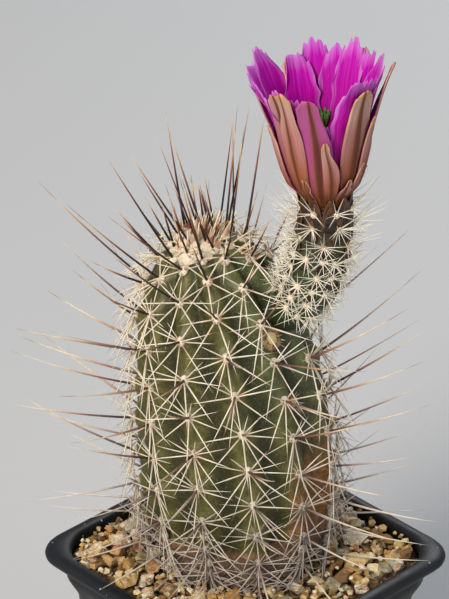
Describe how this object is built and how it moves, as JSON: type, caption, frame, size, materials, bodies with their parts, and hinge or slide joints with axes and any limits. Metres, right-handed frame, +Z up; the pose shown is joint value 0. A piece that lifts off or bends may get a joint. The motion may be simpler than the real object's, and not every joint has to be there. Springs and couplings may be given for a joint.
{
  "type": "potted hedgehog cactus",
  "caption": "Ribbed, long-spined hedgehog cactus with one tall magenta bloom on its shoulder, in a square plastic pot topped with gravel.",
  "frame": {"origin": "centre of the pot's flat underside", "axes": "+Z up; X and Y run along the pot's straight sides; the bloom leans towards +X +Y"},
  "size_m": [0.1302, 0.1273, 0.2412],
  "materials": {
    "pot_plastic": "satin",
    "potting_mix": "matte",
    "gravel": "matte",
    "stem_flesh": "satin",
    "tube_flesh": "satin",
    "outer_tepal": "satin",
    "inner_tepal": "satin",
    "stamen": "matte",
    "pistil": "satin"
  },
  "bodies": {
    "root": {"pot": "pot_plastic", "potting_mix": "potting_mix", "gravel": "gravel", "stem": "stem_flesh", "flower_tube": "tube_flesh", "outer_tepals": "outer_tepal", "inner_tepals": "inner_tepal", "stamens": "stamen", "pistil": "pistil"}
  },
  "joints": []
}
